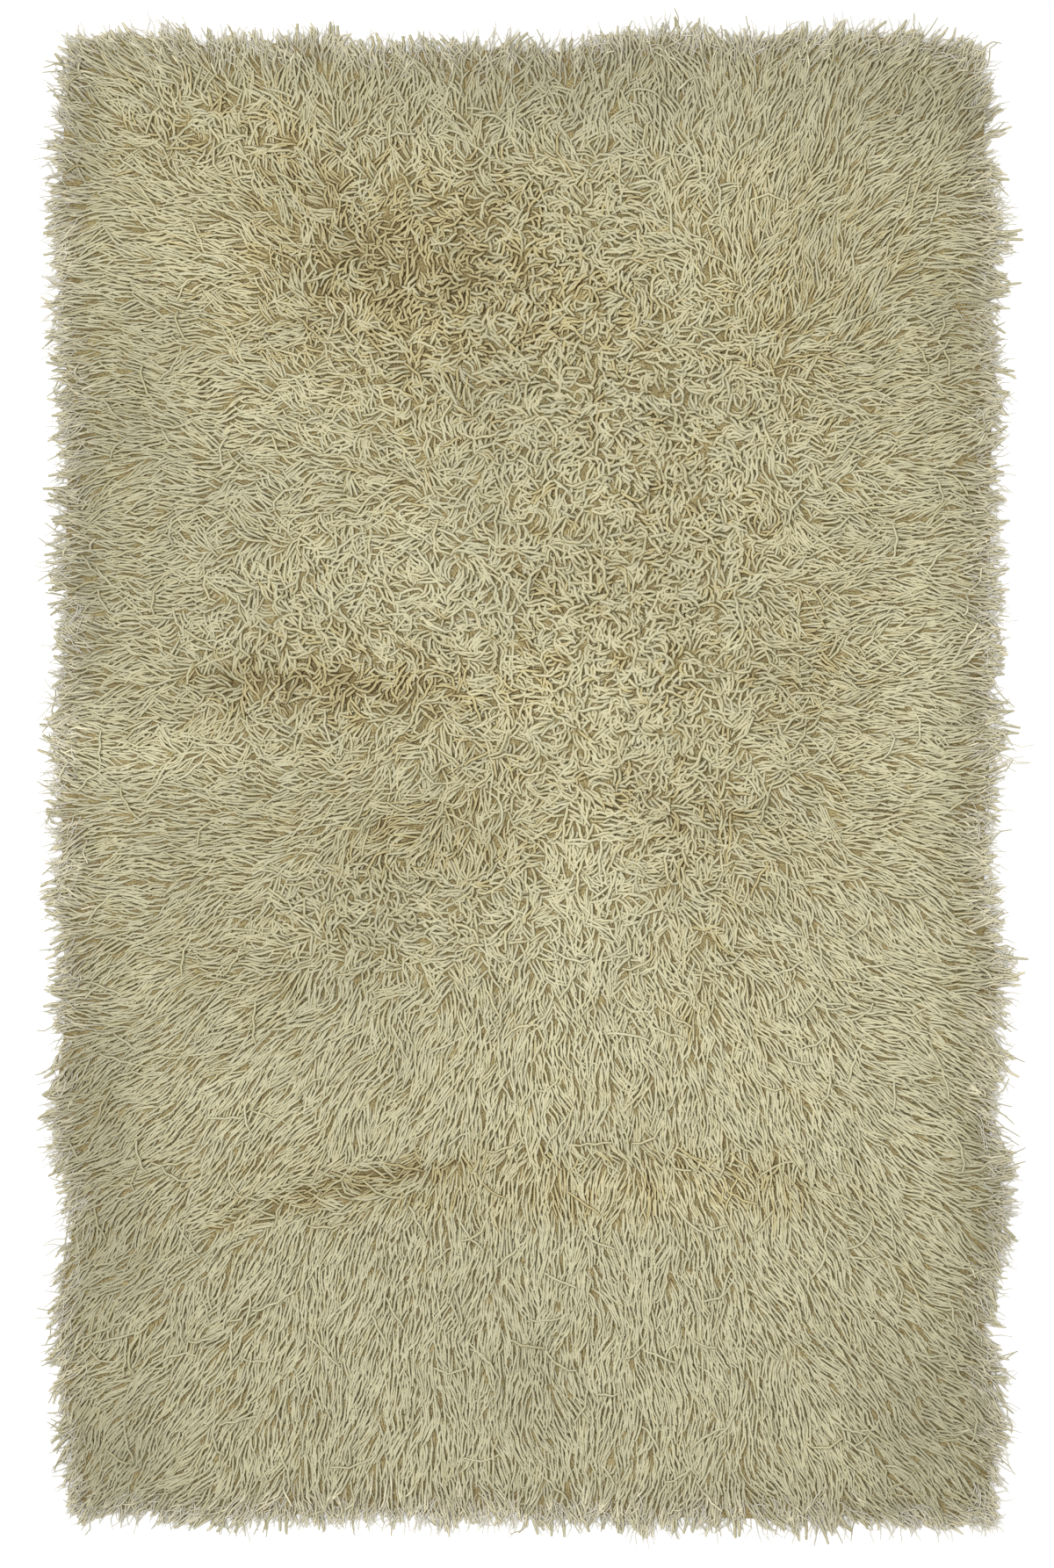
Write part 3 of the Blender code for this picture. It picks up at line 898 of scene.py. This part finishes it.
def yarn_tree():
    """Plants roots over the ground that it is given, and lays a yarn from each."""
    tree = bpy.data.node_groups.new("lay_yarns", "GeometryNodeTree")
    new_input(tree, "Geometry", kind="NodeSocketGeometry")
    new_input(tree, "Material", kind="NodeSocketMaterial")
    for title, value in YARN_INPUTS.items():
        new_input(tree, title, value)
    tree.interface.new_socket("Geometry", in_out="OUTPUT", socket_type="NodeSocketGeometry")
    taken = wires(node(tree, "NodeGroupInput"))
    ground = taken["Geometry"]

    def named(name, data_type="FLOAT"):
        """Reads an attribute."""
        return wire(tree, "GeometryNodeInputNamedAttribute", "Attribute", {"Name": name}, data_type=data_type)

    def planted(spacing, thinning, draw):
        """Points strewn over the ground, none closer to the next than the spacing."""
        kind = "GeometryNodeDistributePointsOnFaces"
        inputs = {
            "Mesh": ground,
            "Distance Min": spacing,
            "Density Max": MOST_ROOTS,
            "Density Factor": named(thinning),
            "Seed": taken["Seed"] + draw,
        }
        return wire(tree, kind, "Points", inputs, distribute_method="POISSON")

    # The roots, and the locks that they belong to
    roots = planted(taken["Yarn Spacing"], taken["Planting"], 0)
    locks = planted(taken["Lock Spacing"], "planted", 1)
    here = wire(tree, "GeometryNodeInputPosition", 0)
    nearest = {"Geometry": locks, "Sample Position": here}
    lock = wire(tree, "GeometryNodeSampleNearest", "Index", nearest, domain="POINT")

    def of_lock(value):
        """A vector as it is at the lock that a yarn belongs to."""
        kind = "GeometryNodeSampleIndex"
        inputs = {"Geometry": locks, "Value": value, "Index": lock}
        return wire(tree, kind, "Value", inputs, data_type="FLOAT_VECTOR", domain="POINT")

    def by_yarn(draw, high=1.0, low=None, **who):
        """A number of each yarn's own, from low to high, or from as far below nought as high is above it."""
        low = -high if low is None else low
        inputs = {"Min_001": low, "Max_001": high, "Seed": taken["Seed"] + draw, **who}
        return wire(tree, "FunctionNodeRandomValue", 1, inputs, data_type="FLOAT")

    def by_lock(draw, high=1.0, low=None):
        """The same, for all the yarns of a lock."""
        return by_yarn(draw, high, low, ID=lock)

    curly = named("curl")
    tufted = named("tufted")
    way = parts(of_lock(named("lie", "FLOAT_VECTOR")))
    stray = by_yarn(2, low=0.0) < taken["Stray Share"]

    # Which way a yarn sets out, how much it bends, and how far it reaches
    turn = by_lock(3) * (taken["Lock Turn"] + curly * taken["Curly Turn"])
    turn += by_yarn(4) * blended(curly, taken["Own Turn"], taken["Curly Own Turn"])
    turn += by_yarn(5, STRAY_TURN) * stray
    aim = maths("ARCTAN2", way["Y"], way["X"]) + turn
    bend = by_lock(6) * blended(curly, taken["Combed Bend"], taken["Curly Bend"])
    bend += by_yarn(7) * blended(curly, taken["Own Bend"], taken["Curly Own Bend"])
    bend += by_yarn(20, STRAY_BEND) * stray
    near_rim = 1.0 - smooth_share(named("room"), taken["Rim From"], taken["Rim To"])
    near_rim = maths("MAXIMUM", near_rim, tufted)
    lengths = (by_lock(8, 0.6) + by_yarn(9, 0.6)) * taken["Length Spread"] + 1.0
    lengths += stray * taken["Stray Lengthening"]
    lengths += near_rim * taken["Rim Lengthening"]
    lengths += tufted * taken["Tuft Lengthening"]
    lengths -= curly * taken["Curly Shortening"]
    behind = blended(near_rim, taken["Share Behind"], taken["Rim Share Behind"])
    free = named("room") * (by_lock(22, 1.12, 0.72) + by_yarn(10, 0.06, -0.30)) + taken["Past Rim"]
    reach = maths("MINIMUM", taken["Yarn Length"] * lengths, free / (1.0 - behind))

    # How it lies on its neighbours, and its tint
    lift = taken["Tip Lift"] * by_yarn(11, low=0.15) * blended(curly, 1.0, taken["Curly Lift"])
    lift += stray * taken["Stray Lift"]
    rise = taken["Lock Rise"] * by_lock(12, low=-0.3) + taken["Own Rise"] * by_yarn(13, low=0.0)
    phase = by_lock(14, math.tau, 0.0) + by_yarn(15, 0.9)
    gathering = blended(curly, taken["Gathering"], taken["Curly Gathering"])
    gathering = blended(tufted, gathering, taken["Tuft Gathering"])
    gather = scaled(vectors("SUBTRACT", of_lock(here), here), gathering)
    # The painted shade of the hollows, folds and rim lowers the tint
    level = taken["Tint"] - named("dark") * taken["Tint Darkening"] + named("light")
    level += by_lock(16) * blended(curly, taken["Lock Tint Spread"], taken["Curly Tint Spread"])
    level += by_yarn(17, OWN_TINT_SPREAD)
    hue = named("brown") * taken["Browning"] + by_lock(18, 0.38, 0.0) + by_yarn(19, 0.25, -0.12)
    # Near the rim, yarns take the rim's hue, which carries painted shade before the tip
    rim_hued = by_yarn(21, 0.9, 0.1) > 1.0 - near_rim
    hue = blended(rim_hued, stepped(hue, YARN_HUES), taken["Rim Hue"])
    tint_row = hue * TINT_LEVELS + stepped(level, TINT_LEVELS)

    roots = kept(roots, "root", here, "FLOAT_VECTOR")
    roots = kept(roots, "gather", gather, "FLOAT_VECTOR")
    own = {"aim": aim, "bend": bend, "reach": reach, "lift": lift, "rise": rise, "phase": phase}
    own |= {"tint_row": tint_row, "near_rim": near_rim, "behind": behind, "stray": stray}
    for name, value in own.items():
        roots = kept(roots, name, value)

    # Only the roots of this band are left
    along = parts(here)["Y"]
    outside = (along < taken["Band From"]) + (1.0 - (along < taken["Band To"]))
    inputs = {"Geometry": roots, "Selection": outside}
    roots = wire(tree, "GeometryNodeDeleteGeometry", "Geometry", inputs, domain="POINT")

    # A straight line for each root, then its path: an arc with a wave along it, which settles on the ground
    near_rim = named("near_rim")
    reach = named("reach")
    line = wire(tree, "GeometryNodeCurvePrimitiveLine", "Curve", {"End": (1.0, 0.0, 0.0)})
    lines = wire(tree, "GeometryNodeInstanceOnPoints", "Instances", {"Points": roots, "Instance": line})
    lines = wire(tree, "GeometryNodeRealizeInstances", "Geometry", {"Geometry": lines})
    count = blended(curly, taken["Combed Points"], taken["Curly Points"])
    count += named("stray") * taken["Stray Points"]
    count += near_rim * taken["Rim Points"]
    inputs = {"Curve": lines, "Count": maths("ROUND", count)}
    lines = wire(tree, "GeometryNodeResampleCurve", "Curve", inputs)
    lines = kept(lines, "along", wire(tree, "GeometryNodeSplineParameter", "Factor"))
    along = named("along")
    past = along - named("behind")
    half_bend = named("bend") * past * 0.5 + LEAST_BEND
    chord = reach * past * (maths("SINE", half_bend) / half_bend)
    heading = named("aim") + half_bend
    out = vector_of(tree, X=maths("COSINE", heading), Y=maths("SINE", heading))
    tangent = heading + half_bend
    side = vector_of(tree, X=maths("SINE", tangent) * -1.0, Y=maths("COSINE", tangent))
    wave = reach * along / taken["Wave Length"] * math.tau + named("phase")
    waving = taken["Wave Height"] * smooth_share(along, 0.0, WAVE_FROM)
    eased = smooth_share(along, 0.0, 1.0)
    plan = vectors("ADD", named("root", "FLOAT_VECTOR"), scaled(out, chord))
    plan = vectors("ADD", plan, scaled(side, maths("SINE", wave) * waving))
    plan = vectors("ADD", plan, scaled(named("gather", "FLOAT_VECTOR"), eased))
    plan = vectors("MULTIPLY", plan, (1.0, 1.0, 0.0))
    fall = {
        "Target Geometry": ground,
        "Source Position": vectors("ADD", plan, (0.0, 0.0, FALL_FROM)),
        "Ray Direction": (0.0, 0.0, -1.0),
        "Ray Length": 1.0,
    }
    landing = wires(node(tree, "GeometryNodeRaycast", fall))
    height = parts(landing["Hit Position"])["Z"] * landing["Is Hit"]
    height += named("lift") * eased
    height += maths("SINE", along * math.pi) * named("rise")
    height -= maths("POWER", 1.0 - along, 3.0) * taken["Root Depth"]
    height += maths("COSINE", wave * WAVE_SLOWING) * waving
    height = maths("MAXIMUM", height, taken["Yarn Radius"])
    inputs = {"Geometry": lines, "Position": vectors("ADD", plan, vector_of(tree, Z=height))}
    lines = wire(tree, "GeometryNodeSetPosition", "Geometry", inputs)

    # The yarn's body: flat side down, thin where it leaves its knot, and narrower at its cut end
    inputs = {"Resolution": YARN_SIDES, "Radius": taken["Yarn Radius"]}
    ring = wire(tree, "GeometryNodeCurvePrimitiveCircle", "Curve", inputs, mode="RADIUS")
    ring = kept(ring, "around", wire(tree, "GeometryNodeSplineParameter", "Factor"))
    inputs = {"Geometry": ring, "Rotation": (0.0, 0.0, -math.pi / 2), "Scale": YARN_SECTION}
    ring = wire(tree, "GeometryNodeTransform", "Geometry", inputs)
    lines = wire(tree, "GeometryNodeSetCurveNormal", "Curve", {"Curve": lines}, mode="Z_UP")
    tip_from = blended(near_rim, taken["Tip From"], taken["Rim Tip From"])
    tip_width = blended(near_rim, taken["Tip Width"], taken["Rim Tip Width"])
    width = blended(smooth_share(along, 0.0, ROOT_FADE), taken["Root Width"], 1.0)
    width *= blended(curly, 1.0, taken["Curly Width"])
    width *= blended(smooth_share(along, tip_from, 1.0), 1.0, tip_width)
    inputs = {"Curve": lines, "Profile Curve": ring, "Scale": width, "Fill Caps": True}
    body = wire(tree, "GeometryNodeCurveToMesh", "Mesh", inputs)

    # Its map: along the yarn one way, and its row of tint the other
    around = named("around")
    inputs = {"Value": around}
    middle = wire(tree, "GeometryNodeFieldOnDomain", "Value", inputs, data_type="FLOAT", domain="FACE")
    around += maths("COMPARE", middle, 1 / 3, 0.05) * (around < 0.1)
    in_row = around * (1 - 2 * ROW_MARGIN) + ROW_MARGIN
    along_map = along * (1 - 2 * MAP_MARGIN) + MAP_MARGIN
    place = vector_of(tree, X=along_map, Y=(named("tint_row") + in_row) / TINT_ROWS)
    body = kept(body, "OFBake", place, "FLOAT2", "CORNER")
    body = wire(tree, "GeometryNodeSetShadeSmooth", "Geometry", {"Geometry": body, "Shade Smooth": True})
    body = wire(tree, "GeometryNodeRealizeInstances", "Geometry", {"Geometry": body})
    inputs = {"Geometry": body, "Material": taken["Material"]}
    body = wire(tree, "GeometryNodeSetMaterial", "Geometry", inputs)
    feed(node(tree, "NodeGroupOutput").inputs["Geometry"], body)
    return tree


# The yarn's shades: its body, its sides, which are painted shade, its root, which is partly painted shade and
# partly dirt, how far the root's colour runs, and how much painted shade lies on it before its tip. The first
# three are the field's, from pale to brown with more painted shade on the sides and roots, and then come the
# rim's and the wisps'.
Shade = namedtuple("Shade", "body side root root_share dust")
SHADES = (
    Shade((0.558, 0.526, 0.354, 1.0), (0.541, 0.496, 0.296, 1.0), (0.352, 0.290, 0.130, 1.0), 0.22, 0.0),
    Shade((0.553, 0.513, 0.331, 1.0), (0.469, 0.392, 0.166, 1.0), (0.290, 0.207, 0.054, 1.0), 0.26, 0.0),
    Shade((0.506, 0.446, 0.246, 1.0), (0.230, 0.132, 0.014, 1.0), (0.152, 0.083, 0.007, 1.0), 0.45, 0.0),
    Shade((0.815, 0.757, 0.540, 1.0), (0.655, 0.588, 0.378, 1.0), (0.366, 0.300, 0.145, 1.0), 0.22, 0.34),
    Shade((0.890, 0.855, 0.715, 1.0), (0.835, 0.785, 0.605, 1.0), (0.650, 0.575, 0.385, 1.0), 0.30, 0.08),
)
DARKEST_TINT = 0.70
TINT_RANGE = 0.38
TIP_FROM = 0.50  # of the yarn's length, from where the painted shade before its tip fades out
TIP_TO = 0.85
SIDE_SHADE_FROM = 0.225  # of the way round, where painted shade begins to darken the yarn's side
SIDE_SHADE_TO = 0.33
PLY_TURNS = 9.0  # of the twist, from root to tip
PLIES = 2.0
PLY_GROOVE_SHADE = 0.13  # how much darker the groove between the plies is, as painted shade
PLY_TOP = 0.89
PLY_RELIEF = 0.7
YARN_FIBRE_RELIEF = 0.5


def yarn_material():
    """Spun wool whose colour depends on the place along the yarn and on its row of tint alone."""
    material, tree, shader = new_material("wool_yarn_ends")
    place = parts(wire(tree, "ShaderNodeUVMap", "UV", uv_map="OFBake"))
    along = place["X"]
    rows = place["Y"] * TINT_ROWS
    row = maths("FLOOR", rows)
    around = maths("FRACT", rows)
    hue = maths("FLOOR", (row + 0.5) / TINT_LEVELS)
    level = (row - hue * TINT_LEVELS) / (TINT_LEVELS - 1)
    look = SHADES[0]
    for number, shade in enumerate(SHADES[1:]):
        passed = hue > number + 0.5
        colours = [mixed(passed, before, after) for before, after in zip(look[:3], shade[:3])]
        shares = [blended(passed, before, after) for before, after in zip(look[3:], shade[3:])]
        look = Shade(*colours, *shares)
    body = scaled(look.body, level * TINT_RANGE + DARKEST_TINT)
    # Painted shade on the rim's yarns and wisps, fading out towards their tips
    body = scaled(body, 1.0 - look.dust * (1.0 - smooth_share(along, TIP_FROM, TIP_TO)))
    from_top = 0.5 - maths("ABSOLUTE", around - 0.5)
    # Painted shade on the yarn's sides, deepest at its lower corners
    body = mixed(smooth_share(from_top, SIDE_SHADE_FROM, SIDE_SHADE_TO), body, look.side)
    # The root's colour: partly painted shade where the pile closes over it, and partly dirt
    base = mixed(smooth_share(along, 0.0, look.root_share), look.root, body)
    unrolled = vector_of(tree, X=along * 4.0, Y=around, Z=row * 0.37)
    tone, fibres = fibres_at(unrolled, fibre_scale=14.0, patch_scale=2.2, contrast=0.25)
    ply = maths("ABSOLUTE", maths("SINE", (along * PLY_TURNS + around * PLIES) * math.pi))
    base = scaled(base, tone * (maths("POWER", ply, 0.5) * PLY_GROOVE_SHADE + PLY_TOP))
    height = ply * PLY_RELIEF + fibres * YARN_FIBRE_RELIEF
    finish_wool(shader, base, height, bump_depth=0.0007, bump_strength=0.7, roughness=0.92, gloss=WOOL_GLOSS)
    return material


def yarn_ground():
    """The grid that the yarns are planted on and lie over, with what the tree reads at each corner of it."""
    rows, columns = grid_x.shape
    points = np.stack([grid_x, grid_y, ground_height], -1).reshape(-1, 3)
    first = (np.arange(rows - 1)[:, None] * columns + np.arange(columns - 1)).ravel()
    faces = np.stack([first, first + 1, first + columns + 1, first + columns], -1)
    mesh = bpy.data.meshes.new("yarn_ground")
    mesh.from_pydata(points.tolist(), [], faces.tolist())
    lie = np.stack([lie_x, lie_y, np.zeros_like(lie_x)], -1)
    mesh.attributes.new("lie", "FLOAT_VECTOR", "POINT").data.foreach_set("vector", lie.ravel())
    kept_share = 1 - HOLLOW_THINNING * np.clip(hollow, 0, 1)
    for name, values in (
        ("planted", np.clip(inside / THINNED_OVER + 1, 0, 1) * kept_share),
        ("wispy", rim_belt(inside, middle=0.004, half_width=0.016)),
        ("curl", curl),
        ("dark", dark),
        ("light", light),
        ("brown", brown),
        ("room", room),
        ("tufted", tufted),
    ):
        mesh.attributes.new(name, "FLOAT", "POINT").data.foreach_set("value", values.ravel())
    return mesh


yarn_ground_mesh = yarn_ground()
yarns = yarn_tree()
yarn_wool = yarn_material()
yarn_sockets = {item.name: item.identifier for item in yarns.interface.items_tree if item.in_out == "INPUT"}


def lay_yarns(name, **inputs):
    """One piece of yarns as a plain mesh, with these of the tree's inputs given."""
    host = bpy.data.objects.new("yarn_ground", yarn_ground_mesh)
    bpy.context.scene.collection.objects.link(host)
    modifier = host.modifiers.new("lay_yarns", "NODES")
    modifier.node_group = yarns
    for title, value in {"Material": yarn_wool, **inputs}.items():
        modifier[yarn_sockets[title.replace("_", " ")]] = value
    graph = bpy.context.evaluated_depsgraph_get()
    mesh = bpy.data.meshes.new_from_object(host.evaluated_get(graph), depsgraph=graph)
    bpy.data.objects.remove(host)
    mesh.name = name
    for attribute in [item.name for item in mesh.attributes if item.domain in ("POINT", "FACE", "CURVE")]:
        if attribute not in ("position", "material_index", "sharp_face") and not attribute.startswith("."):
            mesh.attributes.remove(mesh.attributes[attribute])
    made = plain_object(name, mesh, yarn_wool)
    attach(made, "root")
    return made


bands = [
    lay_yarns(f"yarn_band_{number}", Band_From=band_from, Band_To=band_to)
    for number, (band_from, band_to) in enumerate(zip(BANDS, BANDS[1:]), 1)
]


# ---- Rim wisps: single fibres that have worked loose from the yarns round the rim and blur its outline ----
# They are the same wool, unspun. They lie on the floor and stick out past the locks in all directions.

rim_wisps = lay_yarns(
    "rim_wisps",
    Planting="wispy",
    Seed=23,
    Yarn_Spacing=0.0061,
    Yarn_Radius=0.00080,
    Yarn_Length=0.050,
    Length_Spread=0.4,
    Own_Turn=0.8,
    Past_Rim=0.020,
    Wave_Height=0.003,
    Wave_Length=0.045,
    Curly_Points=4,
    Stray_Share=0.0,
    Rim_Hue=4.0,
)
bpy.data.meshes.remove(yarn_ground_mesh)
